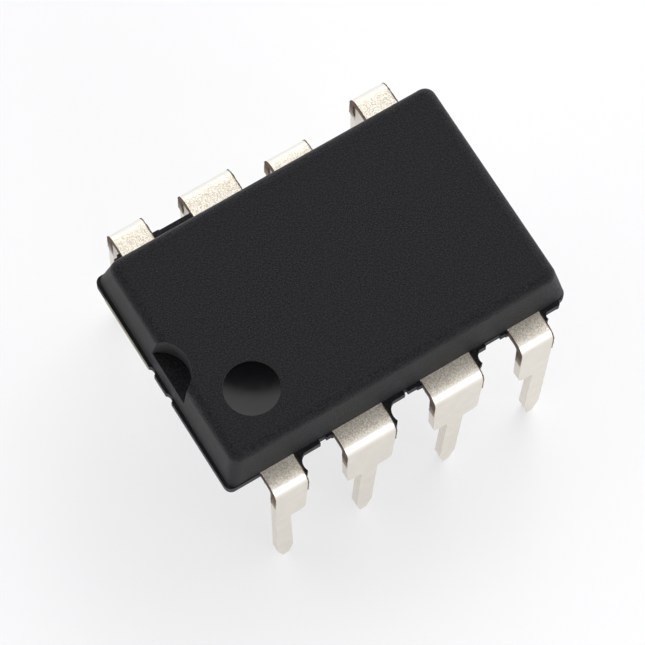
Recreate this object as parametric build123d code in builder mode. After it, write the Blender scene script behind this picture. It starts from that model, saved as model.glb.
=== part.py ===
from build123d import *
from math import atan2, degrees, hypot, radians, tan
import os

# Eight-lead dual in-line package: a stamped leadframe with a die on its paddle and eight bond
# wires, moulded into one block of black epoxy. Millimetres. Z = 0 is the plane of the lead tips,
# X runs along the body with the notched end at -X, and leads 1 to 4 stand in the row at -Y.

# ---- Lead pattern ----
columns = 4                     # leads in each row
pitch = 2.54                    # centre to centre along a row
row_half = 3.81                 # centre of a straight lead from the middle of the package
far_spread = 0.20               # how much further out the far row stands
pushed_in = -0.10               # lead 6 has been pushed towards the body

# ---- Lead strip ----
strip = 0.25                    # thickness of the leadframe sheet
leg_half = 0.23                 # half width of the narrow leg
shoulder_half = 0.71            # half width of a full shoulder
odd_shoulder_half = 0.89        # long side of the one-sided shoulder of lead 6
seat_height = 3.15              # lead tip to the underside of the shoulder
shoulder_drop = 2.28            # underside of the shoulder to the top of the leadframe
bend_radius = 0.36              # outside of the bend
shoulder_taper = 0.06           # each side of a shoulder closes in by this on its way down
shoulder_corner = 0.20          # lower corners of a shoulder
leg_root_radius = 0.07          # inner corner between shoulder and leg
tip_length = 0.55               # tapered end of the leg
tip_half = 0.09                 # half width of the leg's end

# ---- Moulded body ----
body_length = 9.74              # upper half, at the parting plane
body_width = 6.42               # upper half, at the parting plane
upper_height = 1.25             # parting plane to the top face
upper_draft = 10.0              # degrees
lower_depth = 1.55              # underside of the leadframe to the bottom face
lower_draft = 14.0              # degrees
lower_step = 0.05               # the lower half is this much smaller all round at the parting band
rim_length = 9.82               # parting band between the two halves
rim_width = 6.46
rim_shift = -0.05               # the two mould halves are this far out of line
plan_corner = 0.20              # corner radius at the parting plane
top_plan_corner = 0.32          # corner radius of the top and bottom faces
top_fillet = 0.27               # rounded edge of the top face
bottom_fillet = 0.20

# ---- Marks in the top ----
notch_radius = 0.80
notch_reach = 0.64              # from the end of the upper half to the deepest point of the notch
notch_depth = 0.78
notch_shift = -0.10             # off the centre line
dimple_radius = 0.715
dimple_from_end = 1.57          # centre, from the end of the upper half
dimple_from_side = 1.61         # centre, from the side of the upper half
dimple_wall = 0.10              # depth at the rim
dimple_dish = 0.07              # further depth at the middle

# ---- Flash left by the mould ----
vent_start = 0.53               # thin flash on the notched end, from this Y
vent_end = 2.59
vent_out = 0.045
vent_thickness = 0.05
nick_places = (0.42, -0.40)     # where the gate broke away, in Y
nick_half = 0.13
nick_depth = 0.07
knob_radius = 0.07              # rounded end of the web beside lead 4
web_overlap = 0.15              # webs start this far inside the body

# ---- Inside the body ----
root_depth = 0.60               # full-width part of a lead inside the body
finger_width = 0.46             # inner finger of a lead
finger_start = 0.30             # finger's outer end, from the side of the body
outer_finger_x = 2.25           # inner ends of the corner leads
outer_finger_y = 0.85
inner_finger_x = 1.00           # inner ends of the middle leads
inner_finger_y = 1.72
paddle_length = 3.30
paddle_width = 2.40
paddle_corner = 0.15
tie_width = 0.45                # bars that carried the paddle
tie_cover = 0.25                # epoxy over the ends of the tie bars
die_length = 1.80
die_width = 1.30
die_thickness = 0.28
glue_margin = 0.08              # die attach shows this much round the die
glue_thickness = 0.03
wire_radius = 0.015
ball_radius = 0.045
ball_height = 0.030
stitch_radius = 0.040
stitch_height = 0.015
stitch_inset = 0.16             # stitch centre, from the end of the finger
pad_inset = 0.13                # bond pad centre, from the edge of the die
wire_rise = 0.20                # top of a wire above the top of the die

# ---- Worked out ----
lead_bottom = seat_height + shoulder_drop - strip
lead_top = lead_bottom + strip
body_top = lead_top + upper_height
body_bottom = lead_bottom - lower_depth
upper_end = body_length / 2
upper_side = body_width / 2
rim_end = rim_shift - rim_length / 2
first_column = -pitch * (columns - 1) / 2
glue_top = lead_top + glue_thickness
die_top = glue_top + die_thickness
past = 1.0                      # how far a cutter runs past what it cuts

os.makedirs("parts", exist_ok=True)


def column_x(column):
    return first_column + column * pitch


# Each lead: column, row side, half widths of its shoulder towards -X and +X, how far out it
# stands, and how far its tip leans along X.
lead_table = {
    1: (0, -1, leg_half, shoulder_half, 0.0, 0.12),
    2: (1, -1, shoulder_half, shoulder_half, 0.0, -0.08),
    3: (2, -1, shoulder_half, shoulder_half, 0.0, -0.10),
    4: (3, -1, shoulder_half, leg_half, 0.0, -0.05),
    5: (3, 1, shoulder_half, leg_half, far_spread, 0.0),
    6: (2, 1, odd_shoulder_half, leg_half, pushed_in, 0.0),
    7: (1, 1, shoulder_half, shoulder_half, far_spread, 0.0),
    8: (0, 1, leg_half, shoulder_half, far_spread, 0.0),
}


def finger_line(number):
    """Outer and inner end of the middle line of a lead's finger, in plan."""
    column, row, left, right, out, lean = lead_table[number]
    x = column_x(column)
    start = (x + (right - left) / 2, row * (upper_side - finger_start))
    side = 1 if x > 0 else -1
    corner_lead = column in (0, columns - 1)
    tip_x = outer_finger_x if corner_lead else inner_finger_x
    tip_y = outer_finger_y if corner_lead else inner_finger_y
    return start, (side * tip_x, row * tip_y)


def make_lead(number):
    """One lead: bent strip, cut to the outline of shoulder and leg, with its inner finger."""
    column, row, left, right, out, lean = lead_table[number]
    x = column_x(column)
    outer = row_half + out + strip / 2
    inner = outer - strip
    root = upper_side - root_depth

    with BuildPart() as lead:
        # The bent strip, seen along X.
        with BuildSketch(Plane.YZ.offset(x - left)):
            with BuildLine():
                Polyline(
                    (row * root, lead_top),
                    (row * outer, lead_top),
                    (row * outer, 0),
                    (row * inner, 0),
                    (row * inner, lead_bottom),
                    (row * root, lead_bottom),
                    close=True,
                )
            bent = make_face()
            outside_bend = bent.vertices().sort_by_distance((row * outer, lead_top))[0]
            bent = fillet(outside_bend, bend_radius)
            inside_bend = bent.vertices().sort_by_distance((row * inner, lead_bottom))[0]
            fillet(inside_bend, bend_radius - strip)
        extrude(amount=left + right)

        # The outline that the press cut, seen along Y. A shoulder side that is no wider than
        # the leg runs straight down into it.
        with BuildSketch(Plane.XZ) as outline:
            with BuildLine():
                left_steps = shoulder_edge(x, -1, left, lean)
                right_steps = shoulder_edge(x, 1, right, lean)
                Polyline(*left_steps, *reversed(right_steps), close=True)
            make_face()
            for side, reach in ((-1, left), (1, right)):
                if reach > leg_half:
                    low = (x + side * (reach - shoulder_taper), seat_height)
                    corner = outline.vertices().sort_by_distance(low)[0]
                    fillet(corner, shoulder_corner)
                    leg_root = (x + side * leg_half, seat_height)
                    corner = outline.vertices().sort_by_distance(leg_root)[0]
                    fillet(corner, leg_root_radius)
        extrude(amount=2 * outer, both=True, mode=Mode.INTERSECT)

        # The finger that runs in towards the paddle.
        start, end = finger_line(number)
        length = hypot(end[0] - start[0], end[1] - start[1])
        angle = degrees(atan2(end[1] - start[1], end[0] - start[0]))
        with BuildSketch(Plane.XY.offset(lead_bottom)):
            with Locations(((start[0] + end[0]) / 2, (start[1] + end[1]) / 2)):
                SlotCenterToCenter(length, finger_width, rotation=angle)
        extrude(amount=strip)
    return lead


def shoulder_edge(x, side, reach, lean):
    """One side of a lead's front outline, from above the bend down to the tip."""
    points = [(x + side * reach, body_top), (x + side * reach, lead_bottom)]
    if reach > leg_half:
        points.append((x + side * (reach - shoulder_taper), seat_height))
        points.append((x + side * leg_half, seat_height))
    tip_share = tip_length / seat_height
    points.append((x + side * leg_half + lean * (1 - tip_share), tip_length))
    points.append((x + side * tip_half + lean, 0))
    return points


leads = {}
for number in lead_table:
    leads[number] = make_lead(number)
    leads[number].part.label = f"lead_{number}"
    export_step(leads[number].part, f"parts/lead_{number}.step")

# ---- Paddle, with the tie bars that held it while the leadframe was moulded ----
with BuildPart() as die_paddle:
    with BuildSketch(Plane.XY.offset(lead_bottom)):
        RectangleRounded(paddle_length, paddle_width, paddle_corner)
        Rectangle(body_length - 2 * tie_cover, tie_width)
    extrude(amount=strip)
die_paddle.part.label = "die_paddle"
export_step(die_paddle.part, "parts/die_paddle.step")

# ---- Silver-filled glue under the die ----
with BuildPart() as die_attach:
    with BuildSketch(Plane.XY.offset(lead_top)):
        RectangleRounded(die_length + 2 * glue_margin, die_width + 2 * glue_margin, glue_margin)
    extrude(amount=glue_thickness)
die_attach.part.label = "die_attach"
export_step(die_attach.part, "parts/die_attach.step")

# ---- Die ----
with BuildPart() as die:
    with BuildSketch(Plane.XY.offset(glue_top)):
        Rectangle(die_length, die_width)
    extrude(amount=die_thickness)
die.part.label = "die"
export_step(die.part, "parts/die.step")


def pad_place(number):
    """Middle of a lead's bond pad on the die."""
    column, row, left, right, out, lean = lead_table[number]
    x = column_x(column)
    side = 1 if x > 0 else -1
    corner_lead = column in (0, columns - 1)
    across = die_length / 2 - pad_inset
    if not corner_lead:
        across = across / 3
    return side * across, row * (die_width / 2 - pad_inset)


def make_wire(number):
    """Gold wire from its ball on the die, in one arc, to its stitch on the lead's finger."""
    start, end = finger_line(number)
    length = hypot(end[0] - start[0], end[1] - start[1])
    back = stitch_inset - finger_width / 2
    stitch_x = end[0] + (start[0] - end[0]) / length * back
    stitch_y = end[1] + (start[1] - end[1]) / length * back
    pad_x, pad_y = pad_place(number)
    ball_middle = (pad_x, pad_y, die_top + ball_height / 2)
    stitch_middle = (stitch_x, stitch_y, lead_top + wire_radius)
    crown = ((2 * pad_x + stitch_x) / 3, (2 * pad_y + stitch_y) / 3, die_top + wire_rise)

    with BuildPart() as wire:
        with BuildLine() as path:
            ThreePointArc(ball_middle, crown, stitch_middle)
        with BuildSketch(Plane(origin=path.line @ 0, z_dir=path.line % 0)):
            Circle(wire_radius)
        sweep()
        with BuildSketch(Plane.XY.offset(die_top)):
            with Locations((pad_x, pad_y)):
                Circle(ball_radius)
        extrude(amount=ball_height)
        with BuildSketch(Plane.XY.offset(lead_top)):
            with Locations((stitch_x, stitch_y)):
                Circle(stitch_radius)
        extrude(amount=2 * stitch_height)
    return wire


wires = {}
for number in lead_table:
    wires[number] = make_wire(number)
    wires[number].part.label = f"bond_wire_{number}"
    export_step(wires[number].part, f"parts/bond_wire_{number}.step")


# ---- Body ----
# Webs of epoxy that crept between the leads as far as the dam bars: lead, side of it, length
# along the body, reach at the lead, width beside the lead, and reach along the body.
web_table = (
    (1, 1, 0.72, 0.66, 0.09, 0.12),
    (2, -1, 0.20, 0.10, 0.06, 0.07),
    (2, 1, 0.62, 0.72, 0.10, 0.12),
    (3, -1, 0.40, 0.14, 0.14, 0.10),
    (3, 1, 0.45, 0.50, 0.14, 0.10),
    (4, -1, 0.22, 0.10, 0.08, 0.07),
    (4, 1, 0.50, 0.33, 0.10, 0.12),
    (8, -1, 0.22, 0.30, 0.10, 0.22),
    (8, 1, 1.12, 0.34, 0.20, 0.31),
)


def lead_edge(number, side):
    """X of one side of a lead where it leaves the body."""
    column, row, left, right, out, lean = lead_table[number]
    return column_x(column) + (right if side > 0 else -left)


def web_corners(number, side, along, reach, beside, out):
    """Plan of one web: full reach against the lead, then a curve down to its reach along the body."""
    row = lead_table[number][1]
    edge = lead_edge(number, side)
    inner_y = row * (upper_side - web_overlap)
    out_y = row * (upper_side + out)
    fall = reach - out
    at_lead = (edge, row * (upper_side + reach))
    shoulder = (edge + side * beside, out_y + row * fall * 0.8)
    elbow = (edge + side * (beside + fall * 0.1), out_y + row * fall * 0.15)
    knee = (edge + side * (beside + fall * 0.3), out_y)
    far_end = (edge + side * along, out_y)
    return (edge, inner_y), at_lead, shoulder, elbow, knee, far_end, (edge + side * along, inner_y)


upper_inset = upper_height * tan(radians(upper_draft))
lower_inset = lower_depth * tan(radians(lower_draft))

with BuildPart() as body:
    # Upper half, drafted, with its top edge rounded.
    with BuildSketch(Plane.XY.offset(lead_top)):
        RectangleRounded(body_length, body_width, plan_corner)
    with BuildSketch(Plane.XY.offset(body_top)):
        RectangleRounded(body_length - 2 * upper_inset, body_width - 2 * upper_inset, top_plan_corner)
    loft(ruled=True)
    fillet(body.faces().sort_by(Axis.Z)[-1].edges(), top_fillet)

    # Lower half, drafted the other way.
    with BuildSketch(Plane.XY.offset(lead_bottom)):
        RectangleRounded(body_length - 2 * lower_step, body_width - 2 * lower_step, plan_corner)
    with BuildSketch(Plane.XY.offset(body_bottom)):
        RectangleRounded(
            body_length - 2 * lower_step - 2 * lower_inset,
            body_width - 2 * lower_step - 2 * lower_inset,
            top_plan_corner,
        )
    loft(ruled=True)
    fillet(body.faces().sort_by(Axis.Z)[0].edges(), bottom_fillet)

    # Parting band, as thick as the leadframe, with the webs beside the leads.
    with BuildSketch(Plane.XY.offset(lead_bottom)):
        with Locations((rim_shift, 0)):
            RectangleRounded(rim_length, rim_width, plan_corner)
        for web in web_table:
            root, at_lead, shoulder, elbow, knee, far_end, far_root = web_corners(*web)
            with BuildLine():
                Polyline(root, at_lead, shoulder)
                ThreePointArc(shoulder, elbow, knee)
                Polyline(knee, far_end, far_root, root)
            make_face()
        knob_x = lead_edge(4, 1) + web_table[6][2]
        with Locations((knob_x, -upper_side - web_table[6][5] / 2)):
            Circle(knob_radius)
        for place in nick_places:
            with Locations((rim_end, place)):
                Ellipse(nick_depth, nick_half, mode=Mode.SUBTRACT)
    extrude(amount=strip)

    # Thin flash at the vent, on the notched end.
    with BuildSketch(Plane.XY.offset(lead_top - vent_thickness)):
        with Locations((rim_end, (vent_start + vent_end) / 2)):
            Rectangle(2 * vent_out, vent_end - vent_start)
    extrude(amount=vent_thickness)

    # Notch in the end and dimple by lead 1.
    with BuildSketch(Plane.XY.offset(body_top - notch_depth)):
        with Locations((notch_reach - upper_end - notch_radius, notch_shift)):
            Circle(notch_radius)
    extrude(amount=notch_depth + past, mode=Mode.SUBTRACT)
    dimple_x = dimple_from_end - upper_end
    dimple_y = dimple_from_side - upper_side
    dish_radius = (dimple_radius**2 + dimple_dish**2) / (2 * dimple_dish)
    with BuildSketch(Plane.XY.offset(body_top - dimple_wall)):
        with Locations((dimple_x, dimple_y)):
            Circle(dimple_radius)
    extrude(amount=dimple_wall + past, mode=Mode.SUBTRACT)
    with BuildSketch(Plane.XZ.offset(-dimple_y)):
        with BuildLine():
            Line((dimple_x, body_top - dimple_wall), (dimple_x + dimple_radius, body_top - dimple_wall))
            RadiusArc(
                (dimple_x + dimple_radius, body_top - dimple_wall),
                (dimple_x, body_top - dimple_wall - dimple_dish),
                dish_radius,
            )
            Line((dimple_x, body_top - dimple_wall - dimple_dish), (dimple_x, body_top - dimple_wall))
        make_face()
    revolve(axis=Axis((dimple_x, dimple_y, 0), (0, 0, 1)), mode=Mode.SUBTRACT)

    # Everything that the epoxy flowed round.
    for number in lead_table:
        add(leads[number].part, mode=Mode.SUBTRACT)
        add(wires[number].part, mode=Mode.SUBTRACT)
    add(die_paddle.part, mode=Mode.SUBTRACT)
    add(die_attach.part, mode=Mode.SUBTRACT)
    add(die.part, mode=Mode.SUBTRACT)
body.part.label = "body"
export_step(body.part, "parts/body.step")
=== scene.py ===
# %% [markdown]
# # A dual in-line chip on white paper
# The chip is a block of black epoxy moulded round a stamped metal frame, with eight tinned leads
# bent down its sides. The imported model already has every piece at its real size. This lesson
# gives each piece its finish, adds the glossy mark of a pin and the ragged edges that shearing
# leaves, and lights it all on paper.

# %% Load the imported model
import math
import random

import bmesh
import bpy
from mathutils import Matrix, Vector


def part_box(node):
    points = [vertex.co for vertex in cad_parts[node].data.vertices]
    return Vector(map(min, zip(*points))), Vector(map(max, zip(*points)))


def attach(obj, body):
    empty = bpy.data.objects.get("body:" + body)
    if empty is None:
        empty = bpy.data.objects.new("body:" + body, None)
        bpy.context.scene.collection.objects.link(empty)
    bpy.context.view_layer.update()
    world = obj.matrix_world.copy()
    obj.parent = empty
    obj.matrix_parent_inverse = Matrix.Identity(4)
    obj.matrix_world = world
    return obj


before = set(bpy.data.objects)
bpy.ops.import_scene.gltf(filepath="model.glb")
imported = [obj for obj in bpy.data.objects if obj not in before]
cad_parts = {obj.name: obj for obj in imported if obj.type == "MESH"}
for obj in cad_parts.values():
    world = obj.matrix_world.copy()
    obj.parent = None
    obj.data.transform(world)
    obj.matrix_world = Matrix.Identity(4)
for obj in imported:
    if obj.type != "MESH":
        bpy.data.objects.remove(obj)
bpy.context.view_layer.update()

MM = 0.001
MM_PER_METRE = 1000
for name in sorted(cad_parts):
    low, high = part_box(name)
    print(name, [round((b - a) / MM, 2) for a, b in zip(low, high)], "mm")

# %% [markdown]
# ## Places to work from
# Every place in this lesson is in mm and is measured from a node's box, so it follows the model.
# The parting plane of the mould is level with the top of the leads, and the notched end faces -X.

# %% Measure the places
body_low, body_high = (Vector(corner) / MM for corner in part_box("body"))
lead_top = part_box("lead_1")[1][2] / MM
body_top = body_high.z
print("parting plane", round(lead_top, 2), "mm up, top face", round(body_top, 2), "mm up")

# %% [markdown]
# ## Camera
# A small object is best shown from a good way off with a long lens, because its sides then stay
# nearly parallel. The camera looks steeply down from the notched end's left. Its axes are built
# from two angles, as a tripod head would be set, and then it is rolled a little. The aim is moved
# right and up in mm until the chip sits in the middle of the frame.

# %% Place the camera
camera_azimuth = math.radians(-34.44)
camera_elevation = math.radians(70.01)
camera_roll = math.radians(3.0)
camera_distance = 90.9
camera_lens = 204.4
camera_nearest = 10
aim_right = -0.238
aim_up = -0.888

to_camera = Vector((math.sin(camera_azimuth) * math.cos(camera_elevation),
                    -math.cos(camera_azimuth) * math.cos(camera_elevation),
                    math.sin(camera_elevation)))
level_right = Vector((math.cos(camera_azimuth), math.sin(camera_azimuth), 0))
level_up = to_camera.cross(level_right)
right = math.cos(camera_roll) * level_right + math.sin(camera_roll) * level_up
up = math.cos(camera_roll) * level_up - math.sin(camera_roll) * level_right
aim = Vector((0, 0, lead_top)) + aim_right * right + aim_up * up
camera_place = (aim + camera_distance * to_camera) * MM

camera_data = bpy.data.cameras.new("camera")
camera_data.lens = camera_lens
camera_data.clip_start = camera_nearest * MM
camera = bpy.data.objects.new("camera", camera_data)
turned = Matrix((right, up, to_camera)).transposed().to_4x4()
camera.matrix_world = Matrix.Translation(camera_place) @ turned
bpy.context.scene.collection.objects.link(camera)
bpy.context.scene.camera = camera
print("camera at", [round(c / MM, 1) for c in camera_place], "mm")

# %% [markdown]
# ## Helpers
# A material is a graph of nodes, so one helper adds a node, sets it and links it. A second turns
# a colour written in hex, as a paint chart gives it, into the linear values that a shader wants.
# Its numbers are those of the sRGB standard. A third starts a material and gives back the place
# on the object in mm, so that a pattern's scale can be one over its real size. A mix node has
# separate sockets for numbers and for colours, and their positions get names here.

# %% Define the helpers
NUMBER_A = 2
NUMBER_B = 3
NUMBER_MIXED = 0
COLOUR_A = 6
COLOUR_B = 7
COLOUR_MIXED = 2


def add_node(tree, kind, inputs=None, **settings):
    """Adds a node: settings are its options, and inputs are values or sockets to link from."""
    node = tree.nodes.new(kind)
    for name, value in settings.items():
        setattr(node, name, value)
    for key, value in (inputs or {}).items():
        if isinstance(value, bpy.types.NodeSocket):
            tree.links.new(value, node.inputs[key])
        else:
            node.inputs[key].default_value = value
    return node


def linear(hex_colour):
    """Turns an sRGB colour such as "#808080" into linear red, green, blue and alpha."""
    parts = [int(hex_colour[i:i + 2], 16) / 255 for i in (1, 3, 5)]
    return [p / 12.92 if p <= 0.04045 else ((p + 0.055) / 1.055) ** 2.4 for p in parts] + [1]


def start_material(name):
    """Makes an empty material and returns it with its tree, its shader and the place in mm."""
    material = bpy.data.materials.new(name)
    material.use_nodes = True
    tree = material.node_tree
    tree.nodes.clear()
    shader = add_node(tree, "ShaderNodeBsdfPrincipled")
    add_node(tree, "ShaderNodeOutputMaterial", {"Surface": shader.outputs["BSDF"]})
    metres = add_node(tree, "ShaderNodeTexCoord").outputs["Object"]
    place = add_node(tree, "ShaderNodeVectorMath", {0: metres, "Scale": MM_PER_METRE},
                     operation="SCALE")
    return material, tree, shader, place.outputs[0]


def dress(node, material):
    """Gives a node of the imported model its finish."""
    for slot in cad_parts[node].material_slots:
        slot.material = material


print("grey #808080 is", round(linear("#808080")[0], 3), "in linear light")

# %% [markdown]
# ## Black epoxy moulding compound: its colour
# The block is epoxy filled with ground silica and coloured with carbon black, so up close it is
# black with dark grey specks. The silica is about 0.02 mm across, too fine to show, so it is
# drawn twice as coarse. Thin flash that squeezed out through the vent at the notched end has
# little black in it and lets light through, so it looks cream. It could be a piece of its own,
# but it is part of the moulding, so a mask finds it: a number worked out from the place on the
# block, which is 1 on the flash and 0 elsewhere.

# %% Colour the epoxy
filler_mm = 0.04
vent_thick = 0.043
vent_thick_fade = 0.006
vent_start = 0.40
vent_start_fade = 0.06
resin_black = linear("#020203")
silica_grey = linear("#242528")
flash_cream = linear("#d3cdbb")

epoxy, tree, shader, place = start_material("moulded_epoxy")
axes = add_node(tree, "ShaderNodeSeparateXYZ", {0: place})
vent_plane = body_low.x + vent_thick
at_the_end = add_node(tree, "ShaderNodeMapRange",
                      {"Value": axes.outputs["X"], "From Min": vent_plane,
                       "From Max": vent_plane - vent_thick_fade})
past_the_notch = add_node(tree, "ShaderNodeMapRange",
                          {"Value": axes.outputs["Y"], "From Min": vent_start,
                           "From Max": vent_start + vent_start_fade})
on_vent = add_node(tree, "ShaderNodeMath",
                   {0: at_the_end.outputs["Result"], 1: past_the_notch.outputs["Result"]},
                   operation="MULTIPLY")
filler = add_node(tree, "ShaderNodeTexNoise",
                  {"Vector": place, "Scale": 1 / filler_mm, "Detail": 3.0, "Roughness": 0.6})
speck = add_node(tree, "ShaderNodeMapRange",
                 {"Value": filler.outputs["Fac"], "From Min": 0.42, "From Max": 0.62})
black = add_node(tree, "ShaderNodeMix",
                 {0: speck.outputs["Result"], COLOUR_A: resin_black, COLOUR_B: silica_grey},
                 data_type="RGBA")
block_colour = add_node(tree, "ShaderNodeMix",
                        {0: on_vent.outputs[0], COLOUR_A: black.outputs[COLOUR_MIXED],
                         COLOUR_B: flash_cream}, data_type="RGBA")
tree.links.new(block_colour.outputs[COLOUR_MIXED], shader.inputs["Base Color"])
print("silica specks", filler_mm, "mm")

# %% [markdown]
# ## Black epoxy moulding compound: its grain
# The steel cavity was spark-eroded, which leaves an even fine grain on everything moulded in it.
# The grain scatters the light, so the eye sees a dull dark grey face and no mirror. Real pits are
# 0.01 to 0.02 mm across, too fine to show, so they are drawn coarser. The grain is one noise that
# drives both the height and the roughness. A low specular level and a little sheen stand for the
# many steep sides of the pits, which shine less than a smooth face and glow softly at its edges.

# %% Give the epoxy its grain
grain_mm = 0.035
grain_depth = 0.030
epoxy_ior = 1.5

grain = add_node(tree, "ShaderNodeTexNoise",
                 {"Vector": place, "Scale": 1 / grain_mm, "Detail": 4.0, "Roughness": 0.65})
dull = add_node(tree, "ShaderNodeMapRange",
                {"Value": grain.outputs["Fac"], "To Min": 0.40, "To Max": 0.62})
tree.links.new(dull.outputs["Result"], shader.inputs["Roughness"])
pits = add_node(tree, "ShaderNodeBump",
                {"Strength": 1.0, "Distance": grain_depth * MM, "Height": grain.outputs["Fac"]})
tree.links.new(pits.outputs["Normal"], shader.inputs["Normal"])
shader.inputs["IOR"].default_value = epoxy_ior
shader.inputs["Specular IOR Level"].default_value = 0.16
shader.inputs["Sheen Weight"].default_value = 0.12
shader.inputs["Sheen Roughness"].default_value = 0.45
dress("body", epoxy)
print("epoxy grain", grain_mm, "mm across and", grain_depth, "mm deep")

# %% [markdown]
# ## The pin mark beside lead 1
# A polished steel pin pushed the block out of its mould and left a shallow round dish. The same
# epoxy is smooth there, so it is the one glossy place on the block, and it mirrors what is round
# it. It could be a mask in the epoxy's material, but a mirror shows every facet under it, so a
# smooth thin skin is turned from a curve and laid in the dish. A faint smear 0.25 mm across, as
# a pin's polish leaves, keeps the mirror from looking perfect.

# %% Shape the skin of the dish
def turned_skin(name, centre, radius, depth, rings, turns):
    """Turns a parabola round the vertical into a smooth skin, deepest in the middle."""
    skin = bmesh.new()
    circles = []
    for ring in range(1, rings + 1):
        reach = ring / rings
        height = -depth * (1 - reach ** 2)
        circle = []
        for turn in range(turns):
            angle = 2 * math.pi * turn / turns
            offset = Vector((radius * reach * math.cos(angle), radius * reach * math.sin(angle), height))
            circle.append(skin.verts.new((centre + offset) * MM))
        circles.append(circle)
    middle = skin.verts.new((centre - Vector((0, 0, depth))) * MM)
    for turn in range(turns):
        following = (turn + 1) % turns
        skin.faces.new((middle, circles[0][turn], circles[0][following]))
        for inner, outer in zip(circles, circles[1:]):
            skin.faces.new((inner[turn], outer[turn], outer[following], inner[following]))
    for face in skin.faces:
        face.smooth = True
    mesh = bpy.data.meshes.new(name)
    skin.to_mesh(mesh)
    skin.free()
    piece = bpy.data.objects.new(name, mesh)
    bpy.context.scene.collection.objects.link(piece)
    return piece


dish_from_end = 1.705
dish_from_side = 2.335
dish_below_top = 0.10
skin_thick = 0.004
dish_radius = 0.712
dish_depth = 0.045
dish_rings = 24
dish_turns = 96
dish_centre = Vector((body_low.x + dish_from_end, body_low.y + dish_from_side,
                      body_top - dish_below_top + skin_thick))
dish = turned_skin("pin_mark", dish_centre, dish_radius, dish_depth, dish_rings, dish_turns)
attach(dish, "root")
print("pin mark", 2 * dish_radius, "mm across")

# %% [markdown]
# ## Epoxy off a polished pin
# It is the same black resin, and only its roughness is lower. Silica doesn't reach the surface
# against a polished pin, so its two blacks are close together and the eye sees a clean gloss.

# %% Finish the pin mark
smear_mm = 0.25
glossy, tree, shader, place = start_material("epoxy_off_a_polished_pin")
smear = add_node(tree, "ShaderNodeTexNoise", {"Vector": place, "Scale": 1 / smear_mm, "Detail": 2.0})
gloss_colour = add_node(tree, "ShaderNodeMix",
                        {0: smear.outputs["Fac"], COLOUR_A: linear("#050507"),
                         COLOUR_B: linear("#0b0b0d")}, data_type="RGBA")
tree.links.new(gloss_colour.outputs[COLOUR_MIXED], shader.inputs["Base Color"])
gloss = add_node(tree, "ShaderNodeMapRange",
                 {"Value": smear.outputs["Fac"], "To Min": 0.10, "To Max": 0.20})
tree.links.new(gloss.outputs["Result"], shader.inputs["Roughness"])
shader.inputs["IOR"].default_value = epoxy_ior
dish.data.materials.append(glossy)
print("smear", smear_mm, "mm")

# %% [markdown]
# ## Matt tin on copper alloy: its colour
# The frame is plated with matt tin, whose crystals make a soft, grainy, warm white metal. Real
# crystals are a few thousandths of a mm across and wouldn't show, so they are drawn coarser. The
# leads were sheared from the frame, so their two cut sides show dull brown alloy, streaked where
# the punch dragged down it. The forming die pressed the legs and bends smooth, and left the grain
# on the flat shoulders, which the heat of moulding turned warmer. The leads could be split into
# faces with a material each, but masks made from the way a face points do it in one.

# %% Find the cut sides and the shoulders
cut_foot = 1.25
cut_head = 0.75
tin, tree, shader, place = start_material("matt_tin_plate")
facing = add_node(tree, "ShaderNodeSeparateXYZ",
                  {0: add_node(tree, "ShaderNodeTexCoord").outputs["Normal"]})
sideways = add_node(tree, "ShaderNodeMath", {0: facing.outputs["X"]}, operation="ABSOLUTE")
lead_height = add_node(tree, "ShaderNodeSeparateXYZ", {0: place}).outputs["Z"]
side_face = add_node(tree, "ShaderNodeMapRange",
                     {"Value": sideways.outputs[0], "From Min": 0.72, "From Max": 0.88})
near_block = add_node(tree, "ShaderNodeMapRange",
                      {"Value": lead_height, "From Min": lead_top - cut_foot,
                       "From Max": lead_top - cut_head})
cut_side = add_node(tree, "ShaderNodeMath",
                    {0: side_face.outputs["Result"], 1: near_block.outputs["Result"]},
                    operation="MULTIPLY")
upward = add_node(tree, "ShaderNodeMapRange",
                  {"Value": facing.outputs["Z"], "From Min": 0.3, "From Max": 0.9})
flat_top = add_node(tree, "ShaderNodeMapRange",
                    {"Value": facing.outputs["Z"], "From Min": 0.82, "From Max": 0.985})
print("brown sides down to", cut_foot, "mm below the top of the leads")

# %% [markdown]
# ## The tones of the tin
# Four tones are laid over each other: the clean leg with a broad stain, the bend painted near white
# as a painted highlight, the grainy shoulder, and last the sheared brown side with its streaks.

# %% Colour the tin
crystal_mm = 0.04
stain_mm = 0.35
streak_wide = 1 / 15
streak_long = 1 / 3

crystal = add_node(tree, "ShaderNodeTexNoise",
                   {"Vector": place, "Scale": 1 / crystal_mm, "Detail": 5.0, "Roughness": 0.7})
stain = add_node(tree, "ShaderNodeTexNoise",
                 {"Vector": place, "Scale": 1 / stain_mm, "Detail": 4.0, "Roughness": 0.6})
leg_tone = add_node(tree, "ShaderNodeMix",
                    {0: stain.outputs["Fac"], COLOUR_A: linear("#ebe7df"),
                     COLOUR_B: linear("#dbd5ca")}, data_type="RGBA")
grains = add_node(tree, "ShaderNodeMapRange",
                  {"Value": crystal.outputs["Fac"], "From Min": 0.40, "From Max": 0.60})
grain_tone = add_node(tree, "ShaderNodeMix",
                      {0: grains.outputs["Result"], COLOUR_A: linear("#d5c8b0"),
                       COLOUR_B: linear("#fffaf1")}, data_type="RGBA")
# Faces that tilt up but are not flat, which are the bends, are painted near white as a painted
# highlight.
bend_highlight_and_grain_tone = add_node(tree, "ShaderNodeMix",
                         {0: flat_top.outputs["Result"], COLOUR_A: linear("#fdfaf3"),
                          COLOUR_B: grain_tone.outputs[COLOUR_MIXED]}, data_type="RGBA")
plated_tone_and_bend_highlight = add_node(tree, "ShaderNodeMix",
                  {0: upward.outputs["Result"], COLOUR_A: leg_tone.outputs[COLOUR_MIXED],
                   COLOUR_B: bend_highlight_and_grain_tone.outputs[COLOUR_MIXED]}, data_type="RGBA")
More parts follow.
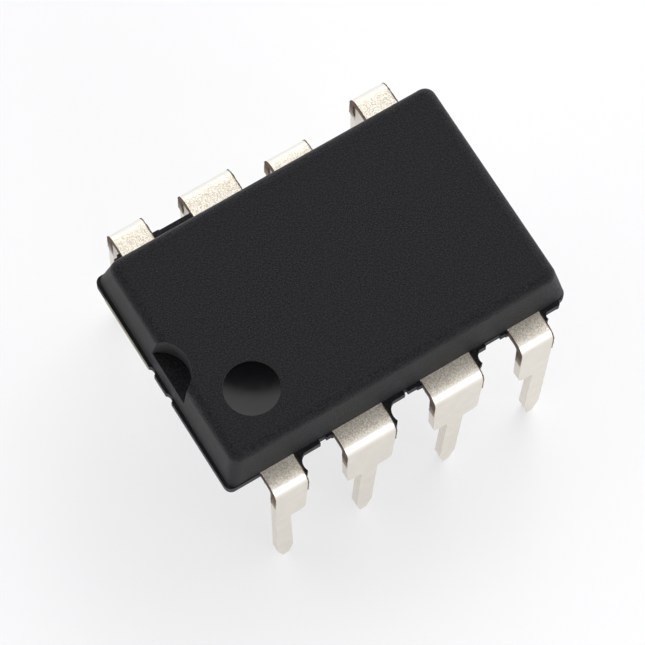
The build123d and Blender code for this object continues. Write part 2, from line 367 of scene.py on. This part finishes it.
dragged = add_node(tree, "ShaderNodeVectorMath",
                   {0: place, 1: (1 / streak_wide, 1 / streak_wide, 1 / streak_long)},
                   operation="MULTIPLY")
streak = add_node(tree, "ShaderNodeTexNoise",
                  {"Vector": dragged.outputs[0], "Scale": 1.0, "Detail": 4.0})
sheared = add_node(tree, "ShaderNodeMix",
                   {0: streak.outputs["Fac"], COLOUR_A: linear("#4a3527"),
                    COLOUR_B: linear("#8a6d52")}, data_type="RGBA")
lead_colour = add_node(tree, "ShaderNodeMix",
                       {0: cut_side.outputs[0], COLOUR_A: plated_tone_and_bend_highlight.outputs[COLOUR_MIXED],
                        COLOUR_B: sheared.outputs[COLOUR_MIXED]}, data_type="RGBA")
tree.links.new(lead_colour.outputs[COLOUR_MIXED], shader.inputs["Base Color"])
print("stains", stain_mm, "mm, streaks", round(streak_long, 2), "mm long")

# %% [markdown]
# ## The grain of the tin
# The crystals scatter the light, so tin looks silky and not like a mirror. They stand up fully
# only on the shoulders, because the die pressed them nearly flat on the legs.

# %% Give the tin its grain
crystal_depth = 0.026
pressed_share = 0.12
standing_share = 0.9

silky = add_node(tree, "ShaderNodeMapRange",
                 {"Value": crystal.outputs["Fac"], "To Min": 0.34, "To Max": 0.58})
tree.links.new(silky.outputs["Result"], shader.inputs["Roughness"])
standing = add_node(tree, "ShaderNodeMix",
                    {0: flat_top.outputs["Result"], NUMBER_A: pressed_share,
                     NUMBER_B: standing_share}, data_type="FLOAT")
crystals = add_node(tree, "ShaderNodeBump",
                    {"Strength": standing.outputs[NUMBER_MIXED], "Distance": crystal_depth * MM,
                     "Height": crystal.outputs["Fac"]})
tree.links.new(crystals.outputs["Normal"], shader.inputs["Normal"])
shader.inputs["Metallic"].default_value = 1.0
leads = [name for name in sorted(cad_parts) if name.startswith("lead_")]
for name in leads:
    dress(name, tin)
print("tin on", len(leads), "leads, crystals", crystal_mm, "mm")

# %% [markdown]
# ## Where the sheared edges run
# A punch cuts the frame, so each lead has a rough brown edge with a small burr that stands proud
# of the tinned face. It runs from the block, round the bend and down the shoulder. The sides of
# each shoulder are measured on the lead itself, because two of them are narrower than the rest.
# Only points outside the block and above the end of the edge are used.

# %% Find the shoulders
edge_drop = 0.95
edge_margin = 0.2
outside_block = 3.3


def shoulder(name):
    """Measures a lead outside the block: its two sides in X, its outer face in Y and its row."""
    row = 1 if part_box(name)[1][1] / MM > body_high.y else -1
    points = [vertex.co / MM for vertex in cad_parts[name].data.vertices]
    upper = [c for c in points
             if c.z > lead_top - edge_drop + edge_margin and abs(c.y) > outside_block]
    return (min(c.x for c in upper), max(c.x for c in upper), max(abs(c.y) for c in upper), row)


for name in leads:
    print(name, [round(value, 2) for value in shoulder(name)])

# %% [markdown]
# ## Sheared copper alloy
# Where the punch tore the strip, bare copper alloy shows. It has tarnished brown and its torn
# face is rough, so it makes a dark dull line beside the tin. Lower down, the tin smeared over
# it, so it fades to a pale tone. Tarnish lies in spots about 0.09 mm across.

# %% Make the sheared alloy
tarnish_mm = 0.09
torn_depth = 0.02
bare_drop = 0.50
sheared_edge, tree, shader, place = start_material("sheared_copper_alloy")
tarnish = add_node(tree, "ShaderNodeTexNoise",
                   {"Vector": place, "Scale": 1 / tarnish_mm, "Detail": 4.0})
brown = add_node(tree, "ShaderNodeMix",
                 {0: tarnish.outputs["Fac"], COLOUR_A: linear("#2b2019"),
                  COLOUR_B: linear("#7d6450")}, data_type="RGBA")
edge_height = add_node(tree, "ShaderNodeSeparateXYZ", {0: place}).outputs["Z"]
bare = add_node(tree, "ShaderNodeMapRange",
                {"Value": edge_height, "From Min": lead_top - edge_drop,
                 "From Max": lead_top - bare_drop})
edge_colour = add_node(tree, "ShaderNodeMix",
                       {0: bare.outputs["Result"], COLOUR_A: linear("#b0a390"),
                        COLOUR_B: brown.outputs[COLOUR_MIXED]}, data_type="RGBA")
tree.links.new(edge_colour.outputs[COLOUR_MIXED], shader.inputs["Base Color"])
torn = add_node(tree, "ShaderNodeBump", {"Strength": 0.8, "Distance": torn_depth * MM,
                                         "Height": tarnish.outputs["Fac"]})
tree.links.new(torn.outputs["Normal"], shader.inputs["Normal"])
shader.inputs["Metallic"].default_value = 0.8
shader.inputs["Roughness"].default_value = 0.55
print("tarnish", tarnish_mm, "mm")

# %% [markdown]
# ## The ragged edges
# The edge could be a texture, but a burr catches the light and breaks the outline, so each edge
# is a thin ragged strip that follows the lead. Its line is a straight run, a quarter circle and
# a drop, and its thickness, depth and burr change by chance from step to step. The strip is sunk
# a little into the lead, so no gap shows. A fixed seed keeps it the same each time.

# %% Cut the ragged edges
bend_outside = 0.36
side_start = 3.26
edge_steps = 44
edge_thick = 0.022
edge_thick_share = (0.4, 1.0)
edge_inset = (0.13, 0.24)
edge_burr = (0.0, 0.018)
edge_sunk = 0.01
edge_taper = 0.5
edge_seed = 11


def contour(face, reach):
    """Gives the place and outward direction on a lead's outer face, from 0 at the block to 1."""
    flat = face - bend_outside - side_start
    arc = bend_outside * math.pi / 2
    down = edge_drop - bend_outside
    run = reach * (flat + arc + down)
    if run < flat:
        return Vector((side_start + run, lead_top)), Vector((0, 1))
    if run < flat + arc:
        angle = (run - flat) / bend_outside
        out = Vector((math.sin(angle), math.cos(angle)))
        return Vector((face - bend_outside, lead_top - bend_outside)) + bend_outside * out, out
    return Vector((face, lead_top - bend_outside - (run - flat - arc))), Vector((1, 0))


def ragged_edge(name, x, outward, face, row, chance):
    """Builds one ragged strip on the side of a lead, at x, with its rough outline."""
    strip = bmesh.new()
    rings = []
    for step in range(edge_steps + 1):
        at, out = contour(face, step / edge_steps)
        high = at + out * chance.uniform(*edge_burr)
        deep = at - out * chance.uniform(*edge_inset)
        thick = edge_thick * chance.uniform(*edge_thick_share)
        corners = ((high, -edge_sunk), (high, thick), (deep, thick * edge_taper), (deep, -edge_sunk))
        rings.append([strip.verts.new(Vector((x + side * outward, row * point.x, point.y)) * MM)
                      for point, side in corners])
    for first, second in zip(rings, rings[1:]):
        for a in range(len(first)):
            b = (a + 1) % len(first)
            strip.faces.new((first[a], first[b], second[b], second[a]))
    strip.faces.new(rings[0])
    strip.faces.new(reversed(rings[-1]))
    bmesh.ops.recalc_face_normals(strip, faces=strip.faces)
    mesh = bpy.data.meshes.new(name)
    strip.to_mesh(mesh)
    strip.free()
    piece = bpy.data.objects.new(name, mesh)
    bpy.context.scene.collection.objects.link(piece)
    piece.data.materials.append(sheared_edge)
    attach(piece, "root")
    return piece


chance = random.Random(edge_seed)
edges = []
for name in leads:
    left_side, right_side, face, row = shoulder(name)
    edges.append(ragged_edge(name + "_edge_left", left_side, -1, face, row, chance))
    edges.append(ragged_edge(name + "_edge_right", right_side, 1, face, row, chance))
print(len(edges), "ragged edges")

# %% [markdown]
# ## The pieces inside
# Nothing inside can be seen, but each piece has its own finish for anyone who opens the block.
# They share one recipe, two tones mixed by a pattern of a real size, so it is written once:
# - rolled copper alloy has faint lines along the strip, and a soft pink shine
# - glue full of silver flakes looks like grey glitter paste. Real flakes are 0.01 mm, too fine to
#   show, so they are drawn at 0.04 mm
# - polished silicon is a dark blue-grey mirror, with a broad faint cloud
# - drawn gold wire is smooth, warm and bright, with fine die marks.

# %% Make the inner finishes
polish_depth = 0.004
polish_strength = 0.3


def inner_finish(name, dark, light, size_mm, stretch, metallic, roughness):
    """Mixes two tones by a noise of the given size in mm, stretched along one axis."""
    material, tree, shader, place = start_material(name)
    pulled = add_node(tree, "ShaderNodeVectorMath", {0: place, 1: stretch}, operation="MULTIPLY")
    pattern = add_node(tree, "ShaderNodeTexNoise",
                       {"Vector": pulled.outputs[0], "Scale": 1 / size_mm, "Detail": 4.0})
    tones = add_node(tree, "ShaderNodeMix",
                     {0: pattern.outputs["Fac"], COLOUR_A: linear(dark), COLOUR_B: linear(light)},
                     data_type="RGBA")
    tree.links.new(tones.outputs[COLOUR_MIXED], shader.inputs["Base Color"])
    marks = add_node(tree, "ShaderNodeBump",
                     {"Strength": polish_strength, "Distance": polish_depth * MM,
                      "Height": pattern.outputs["Fac"]})
    tree.links.new(marks.outputs["Normal"], shader.inputs["Normal"])
    shader.inputs["Metallic"].default_value = metallic
    shader.inputs["Roughness"].default_value = roughness
    return material


even = (1, 1, 1)
along_strip = (0.1, 1, 1)
rolled_alloy = inner_finish("rolled_copper_alloy", "#a9643c", "#d08a5e", size_mm=0.05,
                            stretch=along_strip, metallic=1.0, roughness=0.35)
silver_glue = inner_finish("silver_filled_glue", "#77777a", "#b9b9b6", size_mm=0.04,
                           stretch=even, metallic=0.6, roughness=0.55)
silicon = inner_finish("polished_silicon", "#33383f", "#4d5a63", size_mm=0.15,
                       stretch=even, metallic=0.8, roughness=0.18)
gold = inner_finish("drawn_gold_wire", "#d9a441", "#f6cf73", size_mm=0.02,
                    stretch=even, metallic=1.0, roughness=0.22)
dress("die_paddle", rolled_alloy)
dress("die_attach", silver_glue)
dress("die", silicon)
wires = [name for name in sorted(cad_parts) if name.startswith("bond_wire_")]
for name in wires:
    dress(name, gold)
print("gold on", len(wires), "wires, and three finishes under them")

# %% [markdown]
# ## Paper
# The chip lies on smooth white paper, which looks clean and quite matt. The paper is one wide
# sheet and takes the soft shadow. Its fibres are about 0.03 mm wide, too fine to show, so the
# mottle is drawn at the size of their clumps. What the camera and the shiny leads see of it is
# lifted towards plain white, as an exposure set for the paper would, and the shadow stays.

# %% Lay the paper
paper_half = 400
paper_cells = 8
pulp_mm = 0.6
paper_lift = 0.56
paper_mesh = bpy.data.meshes.new("paper")
sheet = bmesh.new()
bmesh.ops.create_grid(sheet, x_segments=paper_cells, y_segments=paper_cells, size=paper_half * MM)
sheet.to_mesh(paper_mesh)
sheet.free()
paper = bpy.data.objects.new("paper", paper_mesh)
bpy.context.scene.collection.objects.link(paper)

white, tree, shader, place = start_material("smooth_white_paper")
pulp = add_node(tree, "ShaderNodeTexNoise", {"Vector": place, "Scale": 1 / pulp_mm, "Detail": 3.0})
mottle = add_node(tree, "ShaderNodeMix",
                  {0: pulp.outputs["Fac"], COLOUR_A: linear("#fdfdff"),
                   COLOUR_B: linear("#fbfbfd")}, data_type="RGBA")
tree.links.new(mottle.outputs[COLOUR_MIXED], shader.inputs["Base Color"])
shader.inputs["Roughness"].default_value = 0.9
shader.inputs["Specular IOR Level"].default_value = 0.1
ray = add_node(tree, "ShaderNodeLightPath")
shown = add_node(tree, "ShaderNodeMath",
                 {0: ray.outputs["Is Camera Ray"], 1: ray.outputs["Is Glossy Ray"]},
                 operation="MAXIMUM")
lift = add_node(tree, "ShaderNodeMath", {0: shown.outputs[0], 1: paper_lift}, operation="MULTIPLY")
plain_white = add_node(tree, "ShaderNodeEmission", {"Color": linear("#ffffff"), "Strength": 1.0})
lifted = add_node(tree, "ShaderNodeMixShader",
                  {0: lift.outputs[0], 1: shader.outputs["BSDF"], 2: plain_white.outputs[0]})
output = next(node for node in tree.nodes if node.type == "OUTPUT_MATERIAL")
tree.links.new(lifted.outputs[0], output.inputs["Surface"])
paper_mesh.materials.append(white)
print("paper", 2 * paper_half, "mm wide")

# %% [markdown]
# ## The white tent
# Small shiny things are shot in a tent of white cloth. The lens looks in through an opening, so
# that direction is darker than the rest, and that gives black plastic its dark curves. The walls
# are darker than the roof, so upright metal shows some shape. A tent could be built as a mesh,
# but here it is the world's colour, worked out from the direction, which is quicker and has no
# seams. Where the world itself is in view, its strength is 1, which is white.

# %% Hang the tent
tent_level = 1.30
opening_level = 0.04
opening_inner = math.radians(37)
opening_outer = math.radians(44)
wall_share = 0.42
roof_share = 1.08
wall_foot = 0.02
wall_head = 0.50
world = bpy.data.worlds.new("white_tent")
bpy.context.scene.world = world
world.use_nodes = True
tree = world.node_tree
tree.nodes.clear()
look = add_node(tree, "ShaderNodeTexCoord").outputs["Generated"]
toward_opening = add_node(tree, "ShaderNodeVectorMath", {0: look, 1: to_camera},
                          operation="DOT_PRODUCT")
tent = add_node(tree, "ShaderNodeMapRange",
                {"Value": toward_opening.outputs["Value"], "From Min": math.cos(opening_outer),
                 "From Max": math.cos(opening_inner), "To Min": tent_level,
                 "To Max": opening_level}, interpolation_type="SMOOTHSTEP")
look_height = add_node(tree, "ShaderNodeSeparateXYZ", {0: look}).outputs["Z"]
wall = add_node(tree, "ShaderNodeMapRange",
                {"Value": look_height, "From Min": wall_foot, "From Max": wall_head,
                 "To Min": wall_share, "To Max": roof_share})
cloth = add_node(tree, "ShaderNodeMath",
                 {0: tent.outputs["Result"], 1: wall.outputs["Result"]}, operation="MULTIPLY")
in_view = add_node(tree, "ShaderNodeLightPath").outputs["Is Camera Ray"]
level = add_node(tree, "ShaderNodeMix",
                 {0: in_view, NUMBER_A: cloth.outputs[0], NUMBER_B: 1.0}, data_type="FLOAT")
glow = add_node(tree, "ShaderNodeBackground",
                {"Color": linear("#fdfdff"), "Strength": level.outputs[NUMBER_MIXED]})
add_node(tree, "ShaderNodeOutputWorld", {"Surface": glow.outputs[0]})
bpy.context.scene.view_settings.view_transform = "Standard"
print("tent level", tent_level, "with walls at", wall_share, "of it")

# %% [markdown]
# ## Two lamps
# A square soft box on the far right, fairly low, makes the soft shadow and brightens the far
# bends. A long low strip in front of the near side lights the near slope and the upright legs,
# which the darker walls would leave grey. A flat lamp's watts are pi times its area times its
# radiance, so each lamp is given the radiance that its cloth should show.

# %% Light the set
lamp_distance = 400
box_side = 320
box_radiance = 2.0
box_direction = Vector((0.68, 0.48, 0.55)).normalized()
strip_length = 430
strip_width = 135
strip_radiance = 3.0
strip_direction = Vector((0.12, -0.93, 0.34)).normalized()


def cloth_lamp(name, length, width, radiance, direction):
    """Hangs a flat lamp in the given direction, facing the chip."""
    data = bpy.data.lights.new(name, "AREA")
    data.shape = "RECTANGLE"
    data.size = length * MM
    data.size_y = width * MM
    data.energy = math.pi * length * width * MM ** 2 * radiance
    lamp = bpy.data.objects.new(name, data)
    lamp.location = (Vector((0, 0, lead_top)) + direction * lamp_distance) * MM
    lamp.rotation_euler = direction.to_track_quat("Z", "Y").to_euler()
    bpy.context.scene.collection.objects.link(lamp)
    print(name, round(data.energy, 4), "W")


cloth_lamp("soft_box", box_side, box_side, box_radiance, box_direction)
cloth_lamp("low_strip", strip_length, strip_width, strip_radiance, strip_direction)
